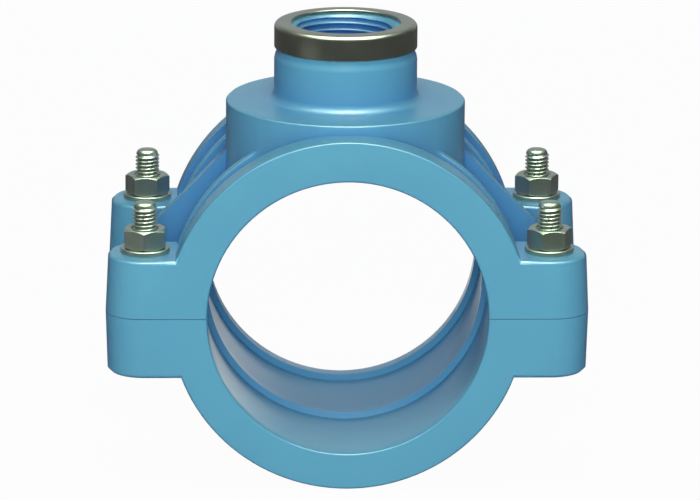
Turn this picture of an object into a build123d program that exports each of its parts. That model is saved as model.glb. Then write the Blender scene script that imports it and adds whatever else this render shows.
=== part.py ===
"""Clamp tapping saddle for a 90 mm water pipe, with a steel-reinforced 1 inch female outlet.

Two moulded half shells close round the pipe and are drawn together by four M8 bolts.  A threaded
outlet rises from the upper half, a pressed steel ring holds its mouth against splitting, and a
rubber gasket seals the upper half to the pipe round the outlet.

Frame: millimetres, origin on the pipe axis at mid length, Y along the pipe, Z up to the outlet.
"""
import os
from math import cos, radians, sqrt, tan

from build123d import *

# ------------------------------------------------------------------ driving dimensions (mm)
# Pipe, and the saddle's run along it
PIPE_DIAMETER = 90.0
PIPE_CLEARANCE = 0.5
SADDLE_LENGTH = 98.0
SPLIT_GAP = 0.2

# Inside of the bore: two end lips and a middle ridge stand on the pipe, the rest is relieved
LIP_WIDTH = 6.0
MID_RIDGE_WIDTH = 3.5
RELIEF_DEPTH = 1.9
RELIEF_RUN_OUT = 0.9

# Walls, measured outwards from the bore
UPPER_WALL = 13.4
LOWER_WALL = 12.0
END_RING_WIDTH = 10.8
GROOVE_DEPTH = 3.9
RIB_WIDTH = 4.6
RIB_INSET = 0.8
RIB_DROP = 0.4
BARREL_WALL = 7.5
EDGE_BREAK = 0.7

# Bolting lugs, one at each corner
LUG_DEPTH = 27.0
LUG_OVERHANG = 12.9
LUG_CORNER_ROUND = 12.0
LUG_EDGE_BEVEL = 1.2
UPPER_LUG_HEIGHT = 19.2
UPPER_LUG_DRAFT = 2.8
LOWER_LUG_HEIGHT = 20.0
LOWER_LUG_DRAFT = 1.6
BOLT_OUTSET = 6.7

# Webs that brace the outlet boss and the lower barrel at mid length
WEB_THICKNESS = 5.0
WEB_BOSS_HEIGHT = 46.5
WEB_SAG = 0.6
WEB_SETBACK = 1.0
WEB_TOE_DROP = 14.0
WEB_TOE_X = 41.0

# Outlet: boss, neck and threaded bore
BOSS_DIAMETER = 78.6
BOSS_RISE = 16.4
NECK_DIAMETER = 47.0
NECK_HEIGHT = 24.5
NECK_FLARE = 3.0
SHOULDER_HEIGHT = 3.2
THREAD_DIAMETER = 33.25
THREAD_DEPTH = 20.0
OUTLET_BORE = 29.0

# Steel reinforcing ring
RING_WALL = 1.25
RING_HEIGHT = 8.3
RING_MOUTH = 35.8
RING_EDGE_BEVEL = 1.0
RING_MOUTH_BEVEL = 0.4
RING_CLEARANCE = 0.05

# Gasket round the outlet, in its own groove
GASKET_INNER = 38.0
GASKET_WIDTH = 7.5
GASKET_DEPTH = 3.0
GASKET_CLEARANCE = 0.15
PAD_MARGIN = 3.5
PAD_CLEARANCE = 0.25

# M8 fastenings
BOLT_DIAMETER = 8.0
BOLT_PROUD = 8.7
BOLT_TIP_CHAMFER = 1.0
BOLT_HOLE = 9.0
HEAD_FLATS = 13.0
HEAD_HEIGHT = 5.3
POCKET_DEPTH = 6.0
POCKET_CLEARANCE = 0.2
NUT_FLATS = 13.0
NUT_HEIGHT = 6.5
NUT_BORE_CLEARANCE = 0.05
HEX_CHAMFER_ANGLE = 30.0
WASHER_DIAMETER = 16.0
WASHER_HOLE = 8.4
WASHER_THICKNESS = 1.6

# How far each nut was turned when it was tightened, in degrees
NUT_TURNS = {"front_left": 27.3, "front_right": 9.0, "back_left": -4.2, "back_right": 6.9}

# ------------------------------------------------------------------ worked-out sizes
bore_r = PIPE_DIAMETER / 2 + PIPE_CLEARANCE
half_length = SADDLE_LENGTH / 2
upper_ring_r = bore_r + UPPER_WALL
split_z = SPLIT_GAP / 2

lug_inner_y = half_length - LUG_DEPTH
bolt_x = upper_ring_r + BOLT_OUTSET
bolt_y = half_length - LUG_DEPTH / 2
lug_half_width = bolt_x + LUG_OVERHANG
lug_root_x = bore_r + BARREL_WALL / 2
rib_inner_y = lug_inner_y + RIB_INSET
rib_outer_y = rib_inner_y + RIB_WIDTH

boss_r = BOSS_DIAMETER / 2
boss_top_z = bore_r + BOSS_RISE
boss_root_z = sqrt(bore_r**2 - boss_r**2) if boss_r < bore_r else 0.0
neck_r = NECK_DIAMETER / 2
neck_top_z = boss_top_z + NECK_HEIGHT
flare_share = 1 - cos(radians(45))
spigot_r = neck_r - RING_WALL - RING_CLEARANCE
ring_top_z = neck_top_z + RING_WALL
ring_bottom_z = ring_top_z - RING_HEIGHT
shoulder_z = ring_bottom_z - RING_CLEARANCE - SHOULDER_HEIGHT
thread_r = THREAD_DIAMETER / 2

pad_r = GASKET_INNER / 2 + GASKET_WIDTH + PAD_MARGIN
pad_face_r = bore_r + PAD_CLEARANCE
groove_floor_r = pad_face_r + GASKET_DEPTH

head_seat_z = POCKET_DEPTH - LOWER_LUG_HEIGHT
washer_z = UPPER_LUG_HEIGHT
nut_z = washer_z + WASHER_THICKNESS
bolt_tip_z = nut_z + NUT_HEIGHT + BOLT_PROUD

CORNERS = {
    "front_left": (-bolt_x, -bolt_y),
    "front_right": (bolt_x, -bolt_y),
    "back_left": (-bolt_x, bolt_y),
    "back_right": (bolt_x, bolt_y),
}


# How close a vertex or an edge must lie to a size to be picked by it
NEAR = 0.05


# ------------------------------------------------------------------ shared forms
def barrel(wall):
    """One full turn of the barrel: ribbed outside, lipped and relieved inside, as a Part."""
    ring_r = bore_r + wall
    rib_r = ring_r - RIB_DROP
    groove_r = ring_r - GROOVE_DEPTH
    relief_r = bore_r + RELIEF_DEPTH
    half = [
        (-MID_RIDGE_WIDTH / 2, bore_r),
        (-MID_RIDGE_WIDTH / 2 - RELIEF_RUN_OUT, relief_r),
        (-half_length + LIP_WIDTH + RELIEF_RUN_OUT, relief_r),
        (-half_length + LIP_WIDTH, bore_r),
        (-half_length, bore_r),
        (-half_length, ring_r),
        (-half_length + END_RING_WIDTH, ring_r),
        (-half_length + END_RING_WIDTH, groove_r),
        (-rib_outer_y, groove_r),
        (-rib_outer_y, rib_r),
        (-rib_inner_y, rib_r),
        (-rib_inner_y, bore_r + BARREL_WALL),
    ]
    other_half = [(-y, r) for y, r in reversed(half)]
    with BuildPart() as turned:
        with BuildSketch(Plane.YZ) as section:
            with BuildLine():
                Polyline(*half, *other_half, close=True)
            make_face()
            crests = section.vertices().filter_by_position(Axis.Y, rib_r - NEAR, ring_r + NEAR)
            lip_ends = section.vertices().filter_by_position(Axis.Y, bore_r - NEAR, bore_r + NEAR)
            rib_crests = crests.filter_by_position(Axis.X, -rib_outer_y, rib_outer_y)
            chamfer(crests.group_by(Axis.X)[0] + crests.group_by(Axis.X)[-1] + rib_crests, EDGE_BREAK)
            chamfer(lip_ends.group_by(Axis.X)[0] + lip_ends.group_by(Axis.X)[-1], EDGE_BREAK)
        revolve(axis=Axis.Y)
    return turned.part


def lug(height, draft, side):
    """The front right lug, rising (side 1) or hanging (side -1) by height from the split plane."""
    drafted_half_width = lug_half_width - height * tan(radians(draft))
    with BuildPart() as block:
        with BuildSketch(Plane.XZ.offset(lug_inner_y)):
            with BuildLine():
                Polyline(
                    (lug_root_x, 0),
                    (lug_half_width, 0),
                    (drafted_half_width, side * height),
                    (lug_root_x, side * height),
                    close=True,
                )
            make_face()
        extrude(amount=LUG_DEPTH)
        end_face = block.faces().sort_by(Axis.X)[-1]
        fillet(end_face.edges().filter_by(Axis.Y, reverse=True), LUG_CORNER_ROUND)
        seat_face = block.faces().sort_by(Axis.Z)[-1 if side > 0 else 0]
        rim = seat_face.edges().filter_by_position(Axis.X, lug_root_x + NEAR, lug_half_width)
        chamfer(rim, LUG_EDGE_BEVEL)
    return block.part


def hex_blank(flats, height, bottom, centre, turn, bevel_top, bevel_bottom):
    """A hexagonal prism whose corners are bevelled on the ends that are asked for, as a Part."""
    corner_r = flats / 2 / cos(radians(30))
    bevel_drop = (corner_r - flats / 2) * tan(radians(HEX_CHAMFER_ANGLE))
    top = bottom + height
    with BuildPart() as blank:
        with BuildSketch(Plane((*centre, bottom))):
            RegularPolygon(radius=flats / 2, side_count=6, major_radius=False, rotation=turn)
        extrude(amount=height)
        with BuildSketch(Plane(origin=(*centre, 0), x_dir=(1, 0, 0), z_dir=(0, -1, 0))):
            with BuildLine():
                Polyline(
                    (0, bottom),
                    (flats / 2 if bevel_bottom else corner_r, bottom),
                    (corner_r, bottom + (bevel_drop if bevel_bottom else 0.01)),
                    (corner_r, top - (bevel_drop if bevel_top else 0.01)),
                    (flats / 2 if bevel_top else corner_r, top),
                    (0, top),
                    close=True,
                )
            make_face()
        revolve(axis=Axis((*centre, 0), (0, 0, 1)), mode=Mode.INTERSECT)
    return blank.part


# ------------------------------------------------------------------ gasket and its groove
with BuildPart() as gasket_groove:
    with BuildSketch():
        Circle(GASKET_INNER / 2 + GASKET_WIDTH)
        Circle(GASKET_INNER / 2, mode=Mode.SUBTRACT)
    extrude(amount=groove_floor_r + 1)
    Cylinder(groove_floor_r, SADDLE_LENGTH, rotation=(90, 0, 0), mode=Mode.INTERSECT)

with BuildPart() as outlet_gasket:
    with BuildSketch():
        Circle(GASKET_INNER / 2 + GASKET_WIDTH - GASKET_CLEARANCE)
        Circle(GASKET_INNER / 2 + GASKET_CLEARANCE, mode=Mode.SUBTRACT)
    extrude(amount=groove_floor_r + 1)
    Cylinder(groove_floor_r, SADDLE_LENGTH, rotation=(90, 0, 0), mode=Mode.INTERSECT)
    Cylinder(pad_face_r - PAD_CLEARANCE / 2, SADDLE_LENGTH, rotation=(90, 0, 0), mode=Mode.SUBTRACT)

# ------------------------------------------------------------------ upper half
with BuildPart() as upper_saddle:
    # one lug and one web, mirrored to all four corners
    add(lug(UPPER_LUG_HEIGHT, UPPER_LUG_DRAFT, 1))
    mirror(about=Plane.XZ)
    with BuildSketch(Plane.XZ):
        web_foot = (bolt_x - WEB_SETBACK, UPPER_LUG_HEIGHT)
        web_head = (boss_r - WEB_SETBACK, WEB_BOSS_HEIGHT)
        with BuildLine():
            SagittaArc(web_foot, web_head, WEB_SAG)
            Polyline(web_head, (boss_r - WEB_SETBACK, 0), (bolt_x, 0), web_foot)
        make_face()
    extrude(amount=WEB_THICKNESS / 2, both=True)
    mirror(about=Plane.YZ)

    # boss and neck, turned as one
    with BuildSketch(Plane.XZ) as tower:
        with BuildLine():
            Polyline(
                (0, boss_root_z),
                (boss_r, boss_root_z),
                (boss_r, boss_top_z),
                (neck_r + NECK_FLARE, boss_top_z),
                (neck_r + NECK_FLARE * flare_share, boss_top_z + NECK_FLARE * flare_share),
                (neck_r, boss_top_z + NECK_FLARE),
                (neck_r, shoulder_z),
                (spigot_r, shoulder_z + SHOULDER_HEIGHT),
                (spigot_r, neck_top_z),
                (0, neck_top_z),
                close=True,
            )
        make_face()
        boss_rim = tower.vertices().filter_by_position(Axis.X, boss_r - NEAR, boss_r + NEAR)
        shoulder = tower.vertices().filter_by_position(Axis.X, neck_r - NEAR, neck_r + NEAR)
        chamfer(boss_rim.sort_by(Axis.Y)[-1], EDGE_BREAK)
        chamfer(shoulder.sort_by(Axis.Y)[-1], EDGE_BREAK)
    revolve(axis=Axis.Z)

    # clear the bore, leave a pad round the outlet, then add the ribbed barrel
    Cylinder(bore_r + BARREL_WALL / 2, SADDLE_LENGTH, rotation=(90, 0, 0), mode=Mode.SUBTRACT)
    with BuildSketch(Plane.XY.offset(boss_root_z)):
        Circle(pad_r)
    extrude(amount=boss_top_z - boss_root_z - EDGE_BREAK)
    Cylinder(pad_face_r, SADDLE_LENGTH, rotation=(90, 0, 0), mode=Mode.SUBTRACT)
    add(barrel(UPPER_WALL))
    split(bisect_by=Plane.XY.offset(split_z), keep=Keep.TOP)
    add(gasket_groove.part, mode=Mode.SUBTRACT)

    # outlet: threaded bore, then the plain bore that the drill passes down
    with BuildSketch(Plane.XY.offset(neck_top_z)):
        Circle(thread_r)
    extrude(amount=-THREAD_DEPTH, mode=Mode.SUBTRACT)
    with BuildSketch(Plane.XY.offset(neck_top_z)):
        Circle(OUTLET_BORE / 2)
    extrude(amount=-neck_top_z, mode=Mode.SUBTRACT)

    # bolt holes
    with BuildSketch(Plane.XY):
        with Locations(*CORNERS.values()):
            Circle(BOLT_HOLE / 2)
    extrude(amount=UPPER_LUG_HEIGHT, mode=Mode.SUBTRACT)

upper_saddle.part.label = "upper_saddle"

# ------------------------------------------------------------------ lower half
lower_ring_r = bore_r + LOWER_WALL

with BuildPart() as lower_saddle:
    add(lug(LOWER_LUG_HEIGHT, LOWER_LUG_DRAFT, -1))
    mirror(about=Plane.XZ)
    with BuildSketch(Plane.XZ):
        with BuildLine():
            Polyline(
                (WEB_TOE_X, -LOWER_LUG_HEIGHT - WEB_TOE_DROP),
                (lug_root_x, 0),
                (bolt_x, 0),
                (bolt_x - WEB_SETBACK, -LOWER_LUG_HEIGHT),
                close=True,
            )
        make_face()
    extrude(amount=WEB_THICKNESS / 2, both=True)
    mirror(about=Plane.YZ)
    Cylinder(bore_r + BARREL_WALL / 2, SADDLE_LENGTH, rotation=(90, 0, 0), mode=Mode.SUBTRACT)
    add(barrel(LOWER_WALL))
    split(bisect_by=Plane.XY.offset(-split_z), keep=Keep.BOTTOM)

    # bolt holes, with a hexagonal pocket below that stops each head from turning
    with BuildSketch(Plane.XY.offset(-LOWER_LUG_HEIGHT)):
        with Locations(*CORNERS.values()):
            Circle(BOLT_HOLE / 2)
    extrude(amount=LOWER_LUG_HEIGHT, mode=Mode.SUBTRACT)
    with BuildSketch(Plane.XY.offset(-LOWER_LUG_HEIGHT)):
        with Locations(*CORNERS.values()):
            RegularPolygon(HEAD_FLATS / 2 + POCKET_CLEARANCE, side_count=6, major_radius=False)
    extrude(amount=POCKET_DEPTH, mode=Mode.SUBTRACT)

lower_saddle.part.label = "lower_saddle"

# ------------------------------------------------------------------ reinforcing ring
with BuildPart() as reinforcing_ring:
    with BuildSketch(Plane.XZ) as ring_section:
        with BuildLine():
            Polyline(
                (spigot_r + RING_CLEARANCE, ring_bottom_z),
                (neck_r, ring_bottom_z),
                (neck_r, ring_top_z),
                (RING_MOUTH / 2, ring_top_z),
                (RING_MOUTH / 2, neck_top_z),
                (spigot_r + RING_CLEARANCE, neck_top_z),
                close=True,
            )
        make_face()
        top_corners = ring_section.vertices().group_by(Axis.Y)[-1].sort_by(Axis.X)
        chamfer(top_corners[-1], RING_EDGE_BEVEL)
        chamfer(top_corners[0], RING_MOUTH_BEVEL)
    revolve(axis=Axis.Z)

reinforcing_ring.part.label = "reinforcing_ring"
outlet_gasket.part.label = "outlet_gasket"


# ------------------------------------------------------------------ fastenings
def make_bolt(name, centre):
    """One M8 bolt, its head up in the pocket and its tip standing proud of the nut."""
    with BuildPart() as bolt:
        add(hex_blank(HEAD_FLATS, HEAD_HEIGHT, head_seat_z - HEAD_HEIGHT, centre, 0, False, True))
        with BuildSketch(Plane((*centre, head_seat_z))):
            Circle(BOLT_DIAMETER / 2)
        extrude(amount=bolt_tip_z - head_seat_z)
        chamfer(bolt.faces().sort_by(Axis.Z)[-1].edges(), BOLT_TIP_CHAMFER)
    bolt.part.label = f"bolt_{name}"
    return bolt.part


def make_nut(name, centre):
    """One M8 nut, bevelled at both ends."""
    with BuildPart() as nut:
        add(hex_blank(NUT_FLATS, NUT_HEIGHT, nut_z, centre, NUT_TURNS[name], True, True))
        with BuildSketch(Plane((*centre, nut_z))):
            Circle(BOLT_DIAMETER / 2 + NUT_BORE_CLEARANCE)
        extrude(amount=NUT_HEIGHT, mode=Mode.SUBTRACT)
    nut.part.label = f"nut_{name}"
    return nut.part


def make_washer(name, centre):
    """One plain washer between lug and nut."""
    with BuildPart() as washer:
        with BuildSketch(Plane((*centre, washer_z))):
            Circle(WASHER_DIAMETER / 2)
            Circle(WASHER_HOLE / 2, mode=Mode.SUBTRACT)
        extrude(amount=WASHER_THICKNESS)
    washer.part.label = f"washer_{name}"
    return washer.part


# ------------------------------------------------------------------ write one STEP per piece
pieces = [upper_saddle.part, lower_saddle.part, reinforcing_ring.part, outlet_gasket.part]
for corner, place in CORNERS.items():
    pieces += [make_bolt(corner, place), make_nut(corner, place), make_washer(corner, place)]

os.makedirs("parts", exist_ok=True)
for piece in pieces:
    export_step(piece, f"parts/{piece.label}.step")
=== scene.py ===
"""Looks of a clamp tapping saddle for a 90 mm water pipe.

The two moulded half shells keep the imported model's shape.  The outlet's thread, the steel ring and
the bolts, nuts and washers are surfaces worked out with numpy: each is a function of two parameters,
an angle about an axis and a place along a profile.  All lengths are in metres.
"""
import logging
from dataclasses import dataclass, field
from enum import Enum
from math import cos, pi, radians, sin, tan

import bpy
import numpy as np
from mathutils import Matrix, Vector


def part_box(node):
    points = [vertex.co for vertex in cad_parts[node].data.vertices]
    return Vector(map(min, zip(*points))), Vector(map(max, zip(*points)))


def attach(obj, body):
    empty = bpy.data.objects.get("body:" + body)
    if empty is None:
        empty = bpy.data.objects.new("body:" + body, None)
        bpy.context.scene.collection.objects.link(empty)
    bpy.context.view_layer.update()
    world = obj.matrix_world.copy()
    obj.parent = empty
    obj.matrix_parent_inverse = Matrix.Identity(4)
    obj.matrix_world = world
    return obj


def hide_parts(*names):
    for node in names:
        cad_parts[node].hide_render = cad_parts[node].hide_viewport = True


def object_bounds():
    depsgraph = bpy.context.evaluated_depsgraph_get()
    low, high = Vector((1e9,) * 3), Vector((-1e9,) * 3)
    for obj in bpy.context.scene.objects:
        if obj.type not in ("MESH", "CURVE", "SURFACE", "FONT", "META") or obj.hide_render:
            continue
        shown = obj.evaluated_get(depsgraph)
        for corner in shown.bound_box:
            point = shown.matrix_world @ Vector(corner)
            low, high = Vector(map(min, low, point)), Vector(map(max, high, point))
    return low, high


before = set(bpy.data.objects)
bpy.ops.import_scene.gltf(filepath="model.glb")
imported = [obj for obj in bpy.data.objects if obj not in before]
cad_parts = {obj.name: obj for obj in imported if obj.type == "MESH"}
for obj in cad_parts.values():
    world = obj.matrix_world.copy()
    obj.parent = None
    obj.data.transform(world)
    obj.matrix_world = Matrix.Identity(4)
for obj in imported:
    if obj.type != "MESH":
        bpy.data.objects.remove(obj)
CAD_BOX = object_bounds()

LOG = logging.getLogger("tapping_saddle")
MM = 0.001
BODY = "root"
OUTLET_AXIS = (0.0, 0.0)
Array = np.ndarray
Colour = tuple[float, ...]
NodeTree = bpy.types.NodeTree
Socket = bpy.types.NodeSocket


class Corner(Enum):
    """A corner of the saddle, with its name as the CAD nodes spell it."""

    FRONT_LEFT = "front_left"
    FRONT_RIGHT = "front_right"
    BACK_LEFT = "back_left"
    BACK_RIGHT = "back_right"


class Slot(Enum):
    """The three groups of pieces that share a material slot."""

    PLASTIC = "saddle_body"
    RING = "ring_steel"
    FASTENING = "plated_steel"


class LampUse(Enum):
    """What a lamp is for: it lights matt surfaces, or is only seen in reflections."""

    LIGHT = "light"
    REFLECTION = "reflection"


# ---------------------------------------------------------------------------- surfaces
def rounded_profile(points: list[tuple[float, float, float]], steps: int) -> Array:
    """A closed outline whose corners are arcs.

    Each corner is cut back along both its sides by radius / tan(half the corner's angle), and a
    circular arc of that radius joins the two cuts.

    Args:
        points: the corners as (radius, height, rounding), in order round the outline.
        steps: the number of straight pieces in each arc.

    Returns:
        The outline's points, shape (n, 2), without a repeated last point.
    """
    corners = np.array(points, float)
    before = np.roll(corners[:, :2], 1, axis=0) - corners[:, :2]
    after = np.roll(corners[:, :2], -1, axis=0) - corners[:, :2]
    before /= np.linalg.norm(before, axis=1, keepdims=True)
    after /= np.linalg.norm(after, axis=1, keepdims=True)
    half_angle = np.arccos(np.clip((before * after).sum(1), -1, 1)) / 2
    middle = before + after
    middle /= np.maximum(np.linalg.norm(middle, axis=1, keepdims=True), 1e-9)
    outline = []
    for corner, to_before, to_after, half, bisector in zip(corners, before, after, half_angle, middle):
        rounding = corner[2]
        if rounding <= 0:
            outline.append(corner[:2])
            continue
        centre = corner[:2] + bisector * rounding / sin(half)
        start = corner[:2] + to_before * rounding / tan(half) - centre
        end = corner[:2] + to_after * rounding / tan(half) - centre
        sweep = np.arctan2(start[0] * end[1] - start[1] * end[0], start @ end)
        turn = np.linspace(0, sweep, steps + 1)
        arc = np.stack([start[0] * np.cos(turn) - start[1] * np.sin(turn),
                        start[0] * np.sin(turn) + start[1] * np.cos(turn)], 1)
        outline.extend(centre + arc)
    return np.array(outline)


def round_angles(columns: int) -> Array:
    """Angles spaced evenly over one turn: column number / columns of a turn, from 0."""
    return np.arange(columns) * 2 * pi / columns


def turned_grid(radius: Array, height: Array, angles: Array, centre: tuple[float, float]) -> Array:
    """Points at radius r, angle t and height z about an upright axis: x = r cos t, y = r sin t.

    Args:
        radius: radii, broadcast to (rows, columns).
        height: heights, broadcast to (rows, columns).
        angles: one angle for each column.
        centre: the axis's x and y.

    Returns:
        The grid, shape (rows, columns, 3).
    """
    shape = np.broadcast_shapes(radius.shape, height.shape, (1, len(angles)))
    r, z = np.broadcast_to(radius, shape), np.broadcast_to(height, shape)
    return np.stack([centre[0] + r * np.cos(angles), centre[1] + r * np.sin(angles), z], -1)


def level_rows(rows: list[Array | float], columns: int) -> Array:
    """Stacks rows, where a single number stands for a row that has it in every column."""
    return np.array([row * np.ones(columns) for row in rows])


def thread_depth(angles: Array, heights: Array, pitch: float, flat: float) -> Array:
    """How deep a right-handed thread's groove is, from 0 at the crest to 1 at the root.

    The phase is height / pitch less angle / one turn.  Its distance from the nearest crest is scaled
    so that crest and root have a flat of the given share.  The depth is that ramp with its ends
    eased: 65 parts of the ramp itself and 35 parts of its smooth step, 3 r squared - 2 r cubed.

    Args:
        angles: one angle for each column.
        heights: one height for each row.
        pitch: the advance in one turn.
        flat: the share of the pitch that is flat at the crest, and again at the root.

    Returns:
        The depth, shape (rows, columns).
    """
    eased = 0.35
    phase = heights[:, None] / pitch - angles[None, :] / (2 * pi)
    from_crest = np.abs(phase - np.round(phase)) * 2
    ramp = np.clip((from_crest - flat) / (1 - 2 * flat), 0, 1)
    return ramp * ramp * (3 - 2 * ramp) * eased + ramp * (1 - eased)


def hexagon_radius(angles: Array, flats: float) -> Array:
    """Distance from a hexagon's centre to its side, with a corner at angle 0.

    It is half the width across flats over the cosine of the angle from the middle of the nearest flat.
    """
    from_flat = angles % (pi / 3) - pi / 6
    return flats / 2 / np.cos(from_flat)


def linked(name: str, mesh: bpy.types.Mesh, sharp_angle: float) -> bpy.types.Object:
    """Shades a mesh smooth up to sharp_angle degrees and links an object with it, which it returns."""
    mesh.validate()
    mesh.shade_smooth()
    mesh.set_sharp_from_angle(angle=radians(sharp_angle))
    piece = bpy.data.objects.new(name, mesh)
    bpy.context.scene.collection.objects.link(piece)
    return piece


def grid_object(name: str, grid: Array, poles: bool = False, sharp_angle: float = 35.0) -> bpy.types.Object:
    """A closed mesh over a grid of points whose columns go round an axis.

    Rows either close on themselves, as on a ring, or end in two poles, where the first and last rows
    are replaced by their mean points.  Faces are turned outwards by the sign of the enclosed volume.

    Args:
        name: the piece's name.
        grid: the points, shape (rows, columns, 3).
        poles: whether the first and last rows shrink to points.
        sharp_angle: edges that fold by more than this, in degrees, are shaded sharp.

    Returns:
        The linked object, at the origin.
    """
    rows, columns = grid.shape[:2]
    index = np.arange(rows * columns).reshape(rows, columns)
    right = np.roll(index, -1, axis=1)
    quads = np.stack([index, right, np.roll(right, -1, 0), np.roll(index, -1, 0)], -1)
    points = grid.reshape(-1, 3)
    if poles:
        quads = quads[1:rows - 2]
        low, high = len(points), len(points) + 1
        points = np.vstack([points, grid[0].mean(0), grid[-1].mean(0)])
        low_fan = np.stack([np.full(columns, low), right[1], index[1]], -1)
        high_fan = np.stack([np.full(columns, high), index[rows - 2], right[rows - 2]], -1)
        triangles = np.vstack([low_fan, high_fan])
        keep = np.r_[np.arange(columns, (rows - 1) * columns), low, high]
    else:
        triangles = np.zeros((0, 3), int)
        keep = np.arange(len(points))
    quads = quads.reshape(-1, 4)
    split = np.vstack([quads[:, [0, 1, 2]], quads[:, [0, 2, 3]], triangles])
    a, b, c = points[split[:, 0]], points[split[:, 1]], points[split[:, 2]]
    if np.einsum("ij,ij->i", a, np.cross(b, c)).sum() < 0:
        quads, triangles = quads[:, ::-1], triangles[:, ::-1]
    renumber = np.full(len(points), -1)
    renumber[keep] = np.arange(len(keep))
    faces = renumber[quads].tolist() + renumber[triangles].tolist()
    mesh = bpy.data.meshes.new(name)
    mesh.from_pydata(points[keep].tolist(), [], faces)
    return linked(name, mesh, sharp_angle)


def soften(piece: bpy.types.Object, width: float) -> None:
    """Rounds a piece's sharp edges with a narrow bevel of that width in metres."""
    bevel = piece.modifiers.new("edge_round", "BEVEL")
    bevel.width = width
    bevel.segments = 3
    bevel.limit_method = "ANGLE"
    bevel.angle_limit = radians(25)
    bevel.harden_normals = True


# ---------------------------------------------------------------------------- node helpers
def node(tree: NodeTree, kind: str, **settings: object) -> bpy.types.Node:
    """Adds a shader node of that kind to a tree, sets its properties and returns it."""
    made = tree.nodes.new(kind)
    for key, value in settings.items():
        setattr(made, key, value)
    return made


def feed(tree: NodeTree, slot: Socket, value: Socket | float | Colour) -> None:
    """Links a socket, or sets a number or colour, on an input."""
    if isinstance(value, bpy.types.NodeSocket):
        tree.links.new(value, slot)
    else:
        slot.default_value = value


def maths(tree: NodeTree, operation: str, first: Socket | float, second: Socket | float = 0.0,
          clamp: bool = False) -> Socket:
    """Adds a Math node fed by two sockets or numbers and returns its output."""
    made = node(tree, "ShaderNodeMath", operation=operation, use_clamp=clamp)
    for slot, value in zip(made.inputs, (first, second)):
        feed(tree, slot, value)
    return made.outputs[0]


def rise(tree: NodeTree, value: Socket, start: Socket | float, slope: float) -> Socket:
    """A number that is 0 up to start, then rises by slope as the value does, and stops at 1."""
    return maths(tree, "MULTIPLY", maths(tree, "SUBTRACT", value, start), slope, clamp=True)


def varied(tree: NodeTree, mask: Socket, spread: float, middle: float) -> Socket:
    """A number that goes from middle - spread / 2 to middle + spread / 2 as the mask goes from 0 to 1."""
    return maths(tree, "ADD", maths(tree, "MULTIPLY", mask, spread), middle - spread / 2)


def mixed_colour(tree: NodeTree, share: Socket | float, first: Socket | Colour,
                 second: Socket | Colour) -> Socket:
    """Adds a colour Mix node, from first at share 0 to second at share 1, and returns its output."""
    made = node(tree, "ShaderNodeMix", data_type="RGBA")
    feed(tree, made.inputs["Factor"], share)
    feed(tree, made.inputs[6], first)
    feed(tree, made.inputs[7], second)
    return made.outputs[2]


def mixed_shader(tree: NodeTree, share: Socket, first: Socket, second: Socket) -> Socket:
    """Adds a Mix Shader node, from first at share 0 to second at share 1, and returns its output."""
    made = node(tree, "ShaderNodeMixShader")
    for slot, value in zip(made.inputs, (share, first, second)):
        feed(tree, slot, value)
    return made.outputs[0]


def bumped(tree: NodeTree, height: Socket, distance: float, strength: float) -> Socket:
    """A Bump node of that distance in metres and strength over a height; returns its normal."""
    bump = node(tree, "ShaderNodeBump")
    bump.inputs["Distance"].default_value = distance
    bump.inputs["Strength"].default_value = strength
    feed(tree, bump.inputs["Height"], height)
    return bump.outputs["Normal"]


def new_group(name: str, inputs: dict[str, float | None],
              outputs: tuple[str, ...]) -> tuple[NodeTree, bpy.types.Node, bpy.types.Node]:
    """Makes a shader node group with named sockets.

    Args:
        name: the group's name.
        inputs: each input's name and default number; None makes it a vector input without one.
        outputs: the names of the outputs, which are numbers.

    Returns:
        The group's tree, its input node and its output node.
    """
    group = bpy.data.node_groups.new(name, "ShaderNodeTree")
    for label, default in inputs.items():
        kind = "NodeSocketVector" if default is None else "NodeSocketFloat"
        made = group.interface.new_socket(name=label, in_out="INPUT", socket_type=kind)
        if default is not None:
            made.default_value = default
    for label in outputs:
        group.interface.new_socket(name=label, in_out="OUTPUT", socket_type="NodeSocketFloat")
    return group, node(group, "NodeGroupInput"), node(group, "NodeGroupOutput")


def placed_group(tree: NodeTree, group: NodeTree, **values: object) -> bpy.types.Node:
    """Places a node group in a tree, sets or links its inputs by name and returns the node."""
    made = node(tree, "ShaderNodeGroup", node_tree=group)
    for label, value in values.items():
        feed(tree, made.inputs[label.replace("_", " ")], value)
    return made


def noise_of(tree: NodeTree, vector: Socket, scale: Socket | float, detail: float) -> Socket:
    """Adds a Noise Texture of that scale and detail over a vector and returns its number."""
    noise = node(tree, "ShaderNodeTexNoise")
    noise.inputs["Detail"].default_value = detail
    feed(tree, noise.inputs["Vector"], vector)
    feed(tree, noise.inputs["Scale"], scale)
    return noise.outputs["Fac"]


def object_place(tree: NodeTree) -> Socket:
    """Adds a Texture Coordinate node and returns its Object output."""
    return node(tree, "ShaderNodeTexCoord").outputs["Object"]


def new_material(name: str) -> tuple[bpy.types.Material, NodeTree, bpy.types.Node]:
    """A material with a bare Principled shader; returns it, its tree and the shader."""
    material = bpy.data.materials.new(name)
    material.use_nodes = True
    return material, material.node_tree, material.node_tree.nodes["Principled BSDF"]


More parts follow.
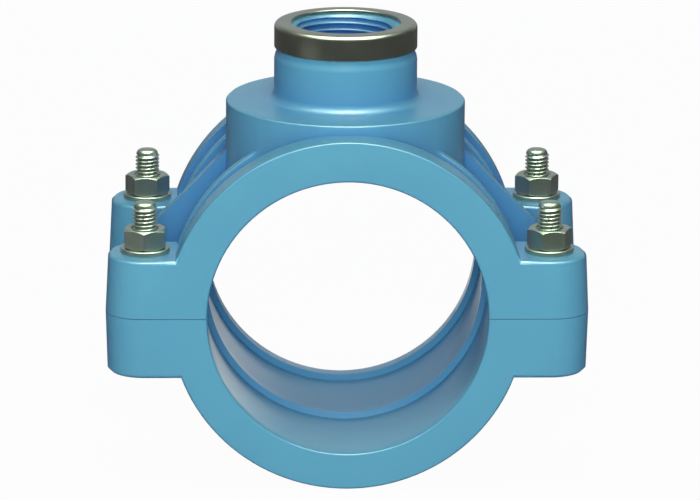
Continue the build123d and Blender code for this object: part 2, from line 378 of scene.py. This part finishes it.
@dataclass(frozen=True)
class SharedEffects:
    """The node groups that more than one finish uses, each built once."""

    mottle: NodeTree
    scuffs: NodeTree

    @classmethod
    def build(cls) -> "SharedEffects":
        """Builds every group and returns them together."""
        return cls(mottle=cls.mottle_group(), scuffs=cls.scuff_group())

    @staticmethod
    def mottle_group() -> NodeTree:
        """Soft patches and a fine pebble: two noises of different scale over one vector."""
        inputs = {"Vector": None, "Patch Scale": 60.0, "Pebble Scale": 1800.0}
        group, source, sink = new_group("mottle", inputs, ("Patches", "Pebble"))
        for label, scale, detail in (("Patches", "Patch Scale", 3.0), ("Pebble", "Pebble Scale", 1.0)):
            noise = noise_of(group, source.outputs["Vector"], source.outputs[scale], detail)
            group.links.new(noise, sink.inputs[label])
        return group

    @staticmethod
    def scuff_group() -> NodeTree:
        """Rubbed specks: a fine noise kept above a threshold, and only inside the patches of a coarse one."""
        patch_scale, patch_start, patch_slope, speck_slope = 35.0, 0.48, 3.0, 5.0
        inputs = {"Vector": None, "Scale": 400.0, "Threshold": 0.62}
        group, source, sink = new_group("scuffs", inputs, ("Mask",))
        fine = noise_of(group, source.outputs["Vector"], source.outputs["Scale"], 4.0)
        coarse = noise_of(group, source.outputs["Vector"], patch_scale, 2.0)
        specks = rise(group, fine, source.outputs["Threshold"], speck_slope)
        patches = rise(group, coarse, patch_start, patch_slope)
        group.links.new(maths(group, "MULTIPLY", specks, patches), sink.inputs["Mask"])
        return group


# ---------------------------------------------------------------------------- finishes
@dataclass(frozen=True)
class MouldedPlastic:
    """Satin injection-moulded polypropylene: an even blue with faint flow patches and rubbed specks.

    Where the moulding's own walls stand close round a place, the blue is painted deeper and darker: painted
    shade in recesses and corners, driven by an ambient occlusion node.
    """

    name: str = "moulded_polypropylene"
    colour: Colour = (0.100, 0.342, 0.560, 1.0)
    deep_colour: Colour = (0.080, 0.300, 0.540, 1.0)
    scuff_colour: Colour = (0.16, 0.44, 0.60, 1.0)
    # The painted shade: its deep blue, how far the occlusion looks, and where and how fast it fades out in
    # the open.
    painted_shade_colour: Colour = (0.034, 0.132, 0.460, 1.0)
    painted_shade_reach: float = 42 * MM
    shade_fade_start: float = 0.20
    shade_fade_slope: float = 1.35
    scuff_share: float = 0.15
    scuff_roughness: float = 0.4
    roughness: float = 0.34
    roughness_spread: float = 0.12
    pebble_height: float = 0.03 * MM
    pebble_strength: float = 0.30
    refraction: float = 1.49
    specular_level: float = 0.8

    def build(self, effects: SharedEffects) -> bpy.types.Material:
        """Makes the material.

        Args:
            effects: the shared node groups.

        Returns:
            The material.
        """
        material, tree, shader = new_material(self.name)
        place = object_place(tree)
        mottle = placed_group(tree, effects.mottle, Vector=place, Patch_Scale=45.0, Pebble_Scale=900.0)
        scuffs = placed_group(tree, effects.scuffs, Vector=place, Scale=260.0, Threshold=0.60)
        patches, pebble = mottle.outputs["Patches"], mottle.outputs["Pebble"]
        body = mixed_colour(tree, patches, self.colour, self.deep_colour)
        # Painted shade: ambient occlusion mixes the colour towards a deep blue where the walls stand close.
        shade_probe = node(tree, "ShaderNodeAmbientOcclusion", samples=8, only_local=True)
        shade_probe.inputs["Distance"].default_value = self.painted_shade_reach
        unshaded_share = rise(tree, shade_probe.outputs["AO"], self.shade_fade_start, self.shade_fade_slope)
        body = mixed_colour(tree, unshaded_share, self.painted_shade_colour, body)
        rubbed = maths(tree, "MULTIPLY", scuffs.outputs["Mask"], self.scuff_share)
        feed(tree, shader.inputs["Base Color"], mixed_colour(tree, rubbed, body, self.scuff_colour))
        level = varied(tree, patches, self.roughness_spread, self.roughness)
        duller = maths(tree, "MULTIPLY", rubbed, self.scuff_roughness)
        feed(tree, shader.inputs["Roughness"], maths(tree, "ADD", level, duller))
        feed(tree, shader.inputs["Normal"], bumped(tree, pebble, self.pebble_height, self.pebble_strength))
        shader.inputs["IOR"].default_value = self.refraction
        shader.inputs["Specular IOR Level"].default_value = self.specular_level
        return material


@dataclass(frozen=True)
class PressedSteel:
    """Dark satin stainless steel, pressed from sheet, with faint stains and rubbed specks."""

    name: str = "dark_satin_steel"
    colour: Colour = (0.33, 0.34, 0.29, 1.0)
    stain_colour: Colour = (0.40, 0.40, 0.33, 1.0)
    scuff_roughness: float = 0.18
    roughness: float = 0.30
    roughness_spread: float = 0.14
    pebble_height: float = 0.02 * MM
    pebble_strength: float = 0.4

    def build(self, effects: SharedEffects) -> bpy.types.Material:
        """Makes the material.

        Args:
            effects: the shared node groups.

        Returns:
            The material.
        """
        material, tree, shader = new_material(self.name)
        place = object_place(tree)
        mottle = placed_group(tree, effects.mottle, Vector=place, Patch_Scale=140.0, Pebble_Scale=2600.0)
        scuffs = placed_group(tree, effects.scuffs, Vector=place, Scale=700.0, Threshold=0.58)
        patches, pebble = mottle.outputs["Patches"], mottle.outputs["Pebble"]
        feed(tree, shader.inputs["Base Color"], mixed_colour(tree, patches, self.colour, self.stain_colour))
        level = varied(tree, patches, self.roughness_spread, self.roughness)
        duller = maths(tree, "MULTIPLY", scuffs.outputs["Mask"], self.scuff_roughness)
        feed(tree, shader.inputs["Roughness"], maths(tree, "ADD", level, duller))
        feed(tree, shader.inputs["Normal"], bumped(tree, pebble, self.pebble_height, self.pebble_strength))
        shader.inputs["Metallic"].default_value = 1.0
        return material


@dataclass(frozen=True)
class ZincPlate:
    """Zinc plating with a faint grey-green passivation that varies in patches, dulled in specks."""

    name: str = "zinc_plated_steel"
    colour: Colour = (0.40, 0.44, 0.42, 1.0)
    tint_colour: Colour = (0.31, 0.37, 0.29, 1.0)
    dull_colour: Colour = (0.22, 0.23, 0.21, 1.0)
    tint_start: float = 0.35
    tint_slope: float = 3.0
    dull_share: float = 0.6
    dull_roughness: float = 0.15
    roughness: float = 0.33
    roughness_spread: float = 0.16
    metallic: float = 0.90
    pebble_height: float = 0.02 * MM
    pebble_strength: float = 0.3

    def build(self, effects: SharedEffects) -> bpy.types.Material:
        """Makes the material.

        Args:
            effects: the shared node groups.

        Returns:
            The material.
        """
        material, tree, shader = new_material(self.name)
        place = object_place(tree)
        mottle = placed_group(tree, effects.mottle, Vector=place, Patch_Scale=170.0, Pebble_Scale=3200.0)
        scuffs = placed_group(tree, effects.scuffs, Vector=place, Scale=900.0, Threshold=0.56)
        patches, pebble = mottle.outputs["Patches"], mottle.outputs["Pebble"]
        tinted = rise(tree, patches, self.tint_start, self.tint_slope)
        body = mixed_colour(tree, tinted, self.colour, self.tint_colour)
        dull = maths(tree, "MULTIPLY", scuffs.outputs["Mask"], self.dull_share)
        feed(tree, shader.inputs["Base Color"], mixed_colour(tree, dull, body, self.dull_colour))
        level = varied(tree, patches, self.roughness_spread, self.roughness)
        duller = maths(tree, "MULTIPLY", dull, self.dull_roughness)
        feed(tree, shader.inputs["Roughness"], maths(tree, "ADD", level, duller))
        feed(tree, shader.inputs["Normal"], bumped(tree, pebble, self.pebble_height, self.pebble_strength))
        shader.inputs["Metallic"].default_value = self.metallic
        return material


@dataclass(frozen=True)
class NitrileRubber:
    """Matt black nitrile rubber with a dusty bloom."""

    name: str = "nitrile_rubber"
    colour: Colour = (0.018, 0.018, 0.019, 1.0)
    bloom_colour: Colour = (0.055, 0.055, 0.056, 1.0)
    roughness: float = 0.625
    roughness_spread: float = 0.15
    pebble_height: float = 0.04 * MM
    pebble_strength: float = 0.4

    def build(self, effects: SharedEffects) -> bpy.types.Material:
        """Makes the material.

        Args:
            effects: the shared node groups.

        Returns:
            The material.
        """
        material, tree, shader = new_material(self.name)
        place = object_place(tree)
        mottle = placed_group(tree, effects.mottle, Vector=place, Patch_Scale=120.0, Pebble_Scale=1500.0)
        patches, pebble = mottle.outputs["Patches"], mottle.outputs["Pebble"]
        feed(tree, shader.inputs["Base Color"], mixed_colour(tree, patches, self.colour, self.bloom_colour))
        feed(tree, shader.inputs["Roughness"], varied(tree, pebble, self.roughness_spread, self.roughness))
        feed(tree, shader.inputs["Normal"], bumped(tree, pebble, self.pebble_height, self.pebble_strength))
        return material


# ---------------------------------------------------------------------------- the object's pieces
def box_of(node_name: str) -> tuple[Array, Array]:
    """The lowest and highest corners of a CAD node as two arrays."""
    low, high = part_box(node_name)
    return np.array(low), np.array(high)


def give_finish(piece: bpy.types.Object, material: bpy.types.Material) -> None:
    """Gives a piece one material in place of what it had, and notes it."""
    piece.data.materials.clear()
    piece.data.materials.append(material)
    LOG.info("%-28s %6d faces, finish %s", piece.name, len(piece.data.polygons), material.name)


def dress(piece: bpy.types.Object, material: bpy.types.Material, slot: Slot, *stands_for: str) -> None:
    """Gives a new piece its material and body, and hides the CAD nodes that it stands for."""
    give_finish(piece, material)
    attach(piece, BODY)
    if stands_for:
        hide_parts(*stands_for)


@dataclass
class HalfShell:
    """One moulded half of the saddle, a welded copy of its CAD solid with even normals."""

    node_name: str
    sharp_angle: float = 50.0
    weld: float = 1e-6
    normal_weight: int = 100

    def build(self) -> bpy.types.Object:
        """Welds the solid's loose triangles: points that round to the same place become one.

        Returns:
            The shell, shaded smooth across its narrow edge breaks by area-weighted normals.
        """
        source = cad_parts[self.node_name].data
        points = np.empty(len(source.vertices) * 3, np.float32)
        source.vertices.foreach_get("co", points)
        corners = np.empty(len(source.loops), np.int32)
        source.loops.foreach_get("vertex_index", corners)
        keys = np.round(points.reshape(-1, 3).astype(float) / self.weld).astype(np.int64)
        unique, inverse = np.unique(keys, axis=0, return_inverse=True)
        triangles = inverse.reshape(-1)[corners].reshape(-1, 3)
        distinct = (triangles != np.roll(triangles, 1, axis=1)).all(1)
        mesh = bpy.data.meshes.new(self.node_name + "_skin")
        mesh.from_pydata((unique * self.weld).tolist(), [], triangles[distinct].tolist())
        shell = linked(self.node_name + "_skin", mesh, self.sharp_angle)
        even = shell.modifiers.new("even_normals", "WEIGHTED_NORMAL")
        even.keep_sharp = True
        even.weight = self.normal_weight
        return shell

    def dress(self, plastic: bpy.types.Material) -> None:
        """Builds the shell and dresses it in the plastic."""
        dress(self.build(), plastic, Slot.PLASTIC, self.node_name)


@dataclass
class OutletThread:
    """The female pipe thread moulded in the outlet: a liner whose inner wall is a helical groove."""

    crest_radius: float = 15.15 * MM
    wall_radius: float = 16.60 * MM
    root_wall: float = 0.05 * MM
    pitch: float = 2.309 * MM
    flat_share: float = 0.12
    length: float = 19.9 * MM
    lead_in: float = 1.3 * MM
    lead_in_slope: float = 1.1
    columns: int = 144
    rows_per_pitch: int = 14

    def build(self) -> bpy.types.Object:
        """Inner radius = crest + depth of the groove, opened out to the wall over the lead-in.

        Returns:
            The liner, closed by its outer wall.
        """
        top = box_of("upper_saddle")[1][2]
        angles = round_angles(self.columns)
        rows = int(self.length / self.pitch * self.rows_per_pitch)
        heights = np.linspace(top, top - self.length, rows)
        groove = thread_depth(angles, heights, self.pitch, self.flat_share)
        radius = self.crest_radius + (self.wall_radius - self.crest_radius - self.root_wall) * groove
        below_rim = (top - heights)[:, None]
        opened = self.wall_radius - below_rim * self.lead_in_slope
        radius = np.maximum(radius, np.where(below_rim < self.lead_in, opened, 0))
        wall = np.full((2, self.columns), self.wall_radius)
        all_heights = np.r_[heights, heights[-1], heights[0]][:, None]
        grid = turned_grid(np.vstack([radius, wall]), all_heights, angles, OUTLET_AXIS)
        return grid_object("outlet_thread", grid, sharp_angle=60.0)

    def dress(self, plastic: bpy.types.Material) -> None:
        """Builds the liner and dresses it in the plastic; the shell's own bore stays behind it."""
        dress(self.build(), plastic, Slot.PLASTIC)


@dataclass
class SteelRing:
    """The pressed ring round the outlet's mouth: a skirt and a lip, turned from one rounded section."""

    node_name: str = "reinforcing_ring"
    wall: float = 1.25 * MM
    crown_round: float = 1.7 * MM
    inner_round: float = 0.45 * MM
    rim_round: float = 0.35 * MM
    mouth_radius: float = 17.9 * MM
    columns: int = 192
    arc_steps: int = 8

    def build(self) -> bpy.types.Object:
        """Revolves the section; the crown's rounding is larger outside than in, as a pressing's is."""
        low, high = box_of(self.node_name)
        outer, bottom, top = high[0], low[2], high[2]
        inner = outer - self.wall
        section = rounded_profile([
            (inner, bottom, self.rim_round),
            (outer, bottom, self.rim_round),
            (outer, top, self.crown_round),
            (self.mouth_radius, top, self.inner_round),
            (self.mouth_radius, top - self.wall, self.rim_round),
            (inner, top - self.wall, 0.0),
        ], self.arc_steps)
        grid = turned_grid(section[:, :1], section[:, 1:], round_angles(self.columns), OUTLET_AXIS)
        return grid_object("steel_ring", grid)

    def dress(self, steel: bpy.types.Material) -> None:
        """Builds the ring and dresses it in the steel."""
        dress(self.build(), steel, Slot.RING, self.node_name)


@dataclass(frozen=True)
class Hexagon:
    """The hexagon of the nuts and the bolts' heads, whose corners are bevelled by a cone."""

    across_flats: float = 13.0 * MM
    bevel_angle: float = 30.0

    def section(self, angles: Array, face_share: float) -> tuple[Array, float, Array]:
        """The hexagon's radii, the flat face's radius, and the bevel's depth.

        The depth is how far the hexagon stands out past the face, times the tangent of the bevel's angle.

        Args:
            angles: one angle for each column.
            face_share: the flat face's width as a share of the width across flats.

        Returns:
            The radii for each column, the face's radius, and the depths for each column.
        """
        radii = hexagon_radius(angles, self.across_flats)
        face_radius = self.across_flats / 2 * face_share
        return radii, face_radius, (radii - face_radius) * tan(radians(self.bevel_angle))


@dataclass
class Bolt:
    """A hexagonal head, a shank, a helical thread and a domed tip in one surface with two poles."""

    corner: Corner
    centre: tuple[float, float]
    hexagon: Hexagon = Hexagon()
    head_height: float = 5.3 * MM
    face_share: float = 0.97
    face_inner_share: float = 0.5
    shank_radius: float = 4.0 * MM
    thread_pitch: float = 1.25 * MM
    thread_length: float = 24.0 * MM
    thread_depth: float = 0.76 * MM
    thread_flat: float = 0.10
    fade_turns: float = 2.0
    tip_height: float = 1.9 * MM
    tip_draw_in: float = 0.25 * MM
    dome_power: float = 2.6
    dome_rise_power: float = 1.4
    dome_rows: int = 8
    columns: int = 96
    rows_per_pitch: int = 10

    def build(self) -> bpy.types.Object:
        """Rows run from the middle of the head's face to the tip.

        Over the head the radius is a hexagon's, its corners bevelled by a cone.  Over the thread it is
        the shank's radius less the groove's depth, which fades in over the first turns.  Over the tip, as
        t goes from 0 to 1, it is the last row's radius, drawn in a little, times the square root of 1
        less t to the dome's power, and the height is the tip's less its length times 1 - t to its own.

        Returns:
            The bolt.
        """
        low, high = box_of(f"bolt_{self.corner.value}")
        bottom, seat, tip = low[2], low[2] + self.head_height, high[2]
        angles = round_angles(self.columns)
        hexagon, face, drop = self.hexagon.section(angles, self.face_share)
        inner = self.face_inner_share * face
        head_radii = level_rows([0.0, inner, face, hexagon, hexagon, self.shank_radius], self.columns)
        head_heights = level_rows([bottom, bottom, bottom, bottom + drop, seat, seat], self.columns)
        start = tip - self.thread_length
        rows = int(self.thread_length / self.thread_pitch * self.rows_per_pitch)
        heights = np.linspace(start, tip - self.tip_height, rows)
        groove = thread_depth(angles, heights, self.thread_pitch, self.thread_flat)
        fade = np.clip((heights - start) / (self.fade_turns * self.thread_pitch), 0, 1)[:, None]
        radii = self.shank_radius - self.thread_depth * groove * fade
        t = np.linspace(0, 1, self.dome_rows + 1)[1:]
        drawn_in = radii[-1] - self.tip_draw_in * t[:, None]
        dome_radii = drawn_in * np.sqrt(np.maximum(1 - t[:, None]**self.dome_power, 0))
        dome_heights = tip - self.tip_height * (1 - t)**self.dome_rise_power
        stem_heights = level_rows([*heights, *dome_heights], self.columns)
        all_radii = np.vstack([head_radii, radii, dome_radii])
        grid = turned_grid(all_radii, np.vstack([head_heights, stem_heights]), angles, self.centre)
        return grid_object(f"bolt_{self.corner.value}_threaded", grid, poles=True, sharp_angle=40.0)


@dataclass
class Nut:
    """A hexagonal ring: both faces bevelled by cones at the corners, the bore countersunk."""

    corner: Corner
    centre: tuple[float, float]
    turn: float
    hexagon: Hexagon = Hexagon()
    face_share: float = 0.965
    bore: float = 4.04 * MM
    countersink: float = 0.6 * MM
    edge_round: float = 0.25 * MM
    columns: int = 96

    def build(self) -> bpy.types.Object:
        """Rows run from the bore's lower end, out over the hexagon, to the bore's upper end.

        Returns:
            The nut, turned by its own angle in degrees about the bolt.
        """
        low, high = box_of(f"nut_{self.corner.value}")
        bottom, top, sink = low[2], high[2], self.countersink
        angles = round_angles(self.columns)
        hexagon, face, drop = self.hexagon.section(angles, self.face_share)
        mouth = self.bore + sink
        radii = level_rows([self.bore, mouth, face, hexagon, hexagon, face, mouth, self.bore], self.columns)
        heights = level_rows([bottom + sink, bottom, bottom, bottom + drop, top - drop, top, top, top - sink],
                             self.columns)
        grid = turned_grid(radii, heights, angles + radians(self.turn), self.centre)
        nut = grid_object(f"nut_{self.corner.value}_chamfered", grid, sharp_angle=25.0)
        soften(nut, self.edge_round)
        return nut


@dataclass
class Washer:
    """A punched ring: its upper outer edge rolled over by the die, the lower edge left crisp."""

    corner: Corner
    centre: tuple[float, float]
    hole: float = 4.2 * MM
    rolled_edge: float = 0.45 * MM
    hole_top_edge: float = 0.15 * MM
    crisp_edge: float = 0.12 * MM
    hole_crisp_edge: float = 0.08 * MM
    arc_steps: int = 5
    columns: int = 96

    def build(self) -> bpy.types.Object:
        """Revolves the section, a rectangle whose four corners have their own roundings."""
        low, high = box_of(f"washer_{self.corner.value}")
        outer, bottom, top = (high[0] - low[0]) / 2, low[2], high[2]
        section = rounded_profile([
            (self.hole, bottom, self.hole_crisp_edge),
            (outer, bottom, self.crisp_edge),
            (outer, top, self.rolled_edge),
            (self.hole, top, self.hole_top_edge),
        ], self.arc_steps)
        grid = turned_grid(section[:, :1], section[:, 1:], round_angles(self.columns), self.centre)
        return grid_object(f"washer_{self.corner.value}_punched", grid)


@dataclass
class Fastening:
    """One bolt with its nut and washer at a corner of the saddle."""

    corner: Corner
    nut_turn: float
    centre: tuple[float, float] = field(init=False)

    def __post_init__(self) -> None:
        """Takes the axis from the washer's box."""
        low, high = box_of(f"washer_{self.corner.value}")
        self.centre = ((low[0] + high[0]) / 2, (low[1] + high[1]) / 2)

    def dress(self, plating: bpy.types.Material) -> None:
        """Builds the three pieces and dresses them in the plating."""
        pieces = {"bolt": Bolt(self.corner, self.centre),
                  "nut": Nut(self.corner, self.centre, self.nut_turn),
                  "washer": Washer(self.corner, self.centre)}
        for kind, piece in pieces.items():
            dress(piece.build(), plating, Slot.FASTENING, f"{kind}_{self.corner.value}")


# How far each nut is turned about its bolt, in degrees.
NUT_TURNS = {Corner.FRONT_LEFT: 27.3, Corner.FRONT_RIGHT: 9.0, Corner.BACK_LEFT: -4.2, Corner.BACK_RIGHT: 6.9}


@dataclass
class TappingSaddle:
    """The whole object: shells, outlet thread, ring, gasket and four fastenings."""

    shells: tuple[str, ...] = ("upper_saddle", "lower_saddle")
    gasket: str = "outlet_gasket"

    def build(self, effects: SharedEffects) -> None:
        """Builds every piece in order and dresses it.

        Args:
            effects: the shared node groups.
        """
        plastic = MouldedPlastic().build(effects)
        steel = PressedSteel().build(effects)
        plating = ZincPlate().build(effects)
        rubber = NitrileRubber().build(effects)
        for name in self.shells:
            HalfShell(name).dress(plastic)
        OutletThread().dress(plastic)
        SteelRing().dress(steel)
        give_finish(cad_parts[self.gasket], rubber)
        for corner, turn in NUT_TURNS.items():
            Fastening(corner, turn).dress(plating)


# ---------------------------------------------------------------------------- studio
def look_at(place: Vector, target: Vector, roll: float = 0.0) -> Matrix:
    """A matrix that puts an object at a place with its -Z towards a target.

    Args:
        place: where the object stands.
        target: the point it faces.
        roll: a turn about the line of sight, in radians, that turns the picture clockwise.

    Returns:
        The world matrix.
    """
    turn = (place - target).to_track_quat("Z", "Y").to_matrix().to_4x4()
    return Matrix.Translation(place) @ turn @ Matrix.Rotation(roll, 4, "Z")


@dataclass(frozen=True)
class Lamp:
    """A rectangular lamp that the camera doesn't see."""

    name: str
    place: tuple[float, float, float]
    size: tuple[float, float]
    power: float
    colour: tuple[float, float, float]
    use: LampUse

    def build(self, aim: Vector) -> None:
        """Places the lamp, facing the point aim."""
        light = bpy.data.lights.new(self.name, "AREA")
        light.shape = "RECTANGLE"
        light.size, light.size_y = self.size
        light.energy = self.power
        light.color = self.colour
        lamp = bpy.data.objects.new(self.name, light)
        lamp.visible_diffuse = self.use is LampUse.LIGHT
        lamp.visible_glossy = self.use is LampUse.REFLECTION
        lamp.visible_camera = lamp.visible_transmission = False
        lamp.matrix_world = look_at(Vector(self.place), aim)
        bpy.context.scene.collection.objects.link(lamp)


# The key, a glow above and a fill behind light the object.  The strip and the sheet overhead are what
# its rounded edges mirror.  Two small cards stand low, cut by the floor: one at the left for the
# plastic's sides, one behind for the bore.
LAMPS = (
    Lamp("front_key", (-0.05, -1.25, 0.46), (0.45, 0.45), 14.2, (1.0, 1.0, 0.74), LampUse.LIGHT),
    Lamp("overhead_glow", (0.0, -0.45, 1.10), (0.45, 0.45), 6.5, (1.0, 0.98, 0.60), LampUse.LIGHT),
    Lamp("back_fill", (0.0, 1.25, 0.50), (0.45, 0.45), 5.0, (0.90, 0.96, 1.0), LampUse.LIGHT),
    Lamp("overhead_strip", (0.04, -0.24, 1.10), (0.50, 0.46), 11.0, (0.94, 1.0, 0.82), LampUse.REFLECTION),
    Lamp("overhead_sheet", (0.0, -0.30, 1.00), (1.60, 1.10), 31.0, (0.85, 1.0, 0.78), LampUse.REFLECTION),
    Lamp("side_card", (-0.36, -0.21, -0.058), (0.24, 0.10), 0.030, (0.95, 1.0, 0.90), LampUse.REFLECTION),
    Lamp("back_card", (0.050, 0.17, -0.050), (0.10, 0.05), 0.025, (1.0, 1.0, 0.88), LampUse.REFLECTION),
)


@dataclass
class PaleFloor:
    """A large plain disc just under the object."""

    radius: float = 6.0
    columns: int = 96
    gap: float = 0.05 * MM
    colour: Colour = (0.36, 0.40, 0.54, 1.0)
    roughness: float = 0.9
    own_glow: float = 0.97
    glow_in_mirrors: float = 0.099

    def build(self) -> None:
        """Builds and stages the disc: rim points at radius cos t, radius sin t."""
        height = CAD_BOX[0][2] - self.gap
        angles = round_angles(self.columns)
        rim = np.stack([self.radius * np.cos(angles), self.radius * np.sin(angles),
                        np.full(self.columns, height)], 1)
        mesh = bpy.data.meshes.new("floor")
        mesh.from_pydata(rim.tolist(), [], [list(range(self.columns))])
        floor = linked("floor", mesh, 30.0)
        floor.data.materials.append(self.finish())

    def finish(self) -> bpy.types.Material:
        """A diffuse floor that glows white to the camera and through glass, and faintly in mirrors."""
        material, tree, shader = new_material("pale_floor")
        shader.inputs["Base Color"].default_value = self.colour
        shader.inputs["Roughness"].default_value = self.roughness
        path = node(tree, "ShaderNodeLightPath").outputs
        seen = maths(tree, "ADD", path["Is Camera Ray"], path["Is Transmission Ray"], clamp=True)
        seen_or_mirrored = maths(tree, "ADD", seen, path["Is Glossy Ray"], clamp=True)
        glow = node(tree, "ShaderNodeEmission")
        glow.inputs["Color"].default_value = (1.0, 1.0, 1.0, 1.0)
        feed(tree, glow.inputs["Strength"], maths(tree, "MAXIMUM", seen, self.glow_in_mirrors))
        share = maths(tree, "MULTIPLY", seen_or_mirrored, self.own_glow)
        surface = mixed_shader(tree, share, shader.outputs[0], glow.outputs[0])
        feed(tree, tree.nodes["Material Output"].inputs["Surface"], surface)
        return material


@dataclass
class Surround:
    """The world: white to the camera, a blue fill for the lighting, and its own picture in mirrors."""

    fill_colour: Colour = (0.34, 0.38, 1.0, 1.0)
    fill_strength: float = 0.16
    fill_rise: float = 0.03
    mirrored_colour: Colour = (0.86, 0.94, 1.0, 1.0)
    dark_side: float = 0.09
    bright_rise: float = 0.42
    left_rise: float = 0.08

    def build(self) -> None:
        """Builds the world and gives it to the scene."""
        world = bpy.data.worlds.new("studio")
        bpy.context.scene.world = world
        world.use_nodes = True
        tree = world.node_tree
        tree.nodes.clear()
        parts = node(tree, "ShaderNodeSeparateXYZ")
        feed(tree, parts.inputs[0], node(tree, "ShaderNodeTexCoord").outputs["Generated"])
        path = node(tree, "ShaderNodeLightPath").outputs
        white = self.background(tree, (1.0, 1.0, 1.0, 1.0), 1.0)
        fill = self.background(tree, self.fill_colour, self.fill(tree, parts.outputs))
        mirrored = self.background(tree, self.mirrored_colour, self.mirrored(tree, parts.outputs))
        unseen = mixed_shader(tree, path["Is Glossy Ray"], fill, mirrored)
        surface = mixed_shader(tree, path["Is Camera Ray"], unseen, white)
        feed(tree, node(tree, "ShaderNodeOutputWorld").inputs["Surface"], surface)

    @staticmethod
    def background(tree: NodeTree, colour: Colour, strength: Socket | float) -> Socket:
        """Adds a Background node and returns its output."""
        made = node(tree, "ShaderNodeBackground")
        made.inputs["Color"].default_value = colour
        feed(tree, made.inputs["Strength"], strength)
        return made.outputs[0]

    def fill(self, tree: NodeTree, parts: bpy.types.NodeOutputs) -> Socket:
        """The fill's strength, a little more from above than from below."""
        up = rise(tree, parts["Z"], -0.2, 0.8)
        return maths(tree, "ADD", maths(tree, "MULTIPLY", up, self.fill_rise), self.fill_strength)

    def mirrored(self, tree: NodeTree, parts: bpy.types.NodeOutputs) -> Socket:
        """The strength in mirrors: bright behind and above, dark in front, a little lighter at the left."""
        behind = rise(tree, parts["Y"], 0.60, 3.5)
        above = rise(tree, parts["Z"], 0.45, 1.6)
        bright = maths(tree, "MULTIPLY", maths(tree, "MAXIMUM", behind, above), self.bright_rise)
        left = maths(tree, "MULTIPLY", parts["X"], -self.left_rise, clamp=True)
        return maths(tree, "ADD", maths(tree, "ADD", bright, left), self.dark_side)


@dataclass
class LongLens:
    """The camera, on a sphere about its target at an azimuth and elevation, and turned by a roll."""

    azimuth: float = -1.55
    elevation: float = 15.0
    roll: float = 0.35
    distance: float = 1.790
    focal_length: float = 277.8
    sensor_width: float = 36.0
    far_clip: float = 50.0
    target: tuple[float, float, float] = (1.8 * MM, 0.0, 10.1 * MM)

    def build(self) -> None:
        """Places the camera and makes it the scene's."""
        scene = bpy.context.scene
        a, e = radians(self.azimuth), radians(self.elevation)
        back = Vector((sin(a) * cos(e), -cos(a) * cos(e), sin(e)))
        target = Vector(self.target)
        lens = bpy.data.cameras.new("camera")
        lens.sensor_width = self.sensor_width
        lens.lens = self.focal_length
        lens.clip_end = self.far_clip
        camera = bpy.data.objects.new("camera", lens)
        camera.matrix_world = look_at(target + back * self.distance, target, radians(self.roll))
        scene.collection.objects.link(camera)
        scene.camera = camera


@dataclass
class Studio:
    """A pale floor, the surround, the lamps and the camera."""

    lamp_aim: tuple[float, float, float] = (0.0, 0.0, 20 * MM)

    def build(self) -> None:
        """Builds everything round the object."""
        bpy.context.scene.view_settings.view_transform = "Standard"
        PaleFloor().build()
        Surround().build()
        for lamp in LAMPS:
            lamp.build(Vector(self.lamp_aim))
        LongLens().build()


def main() -> None:
    """Builds the object, then the studio."""
    logging.basicConfig(level=logging.INFO, format="%(message)s")
    TappingSaddle().build(SharedEffects.build())
    Studio().build()


if __name__ == "__main__":
    main()
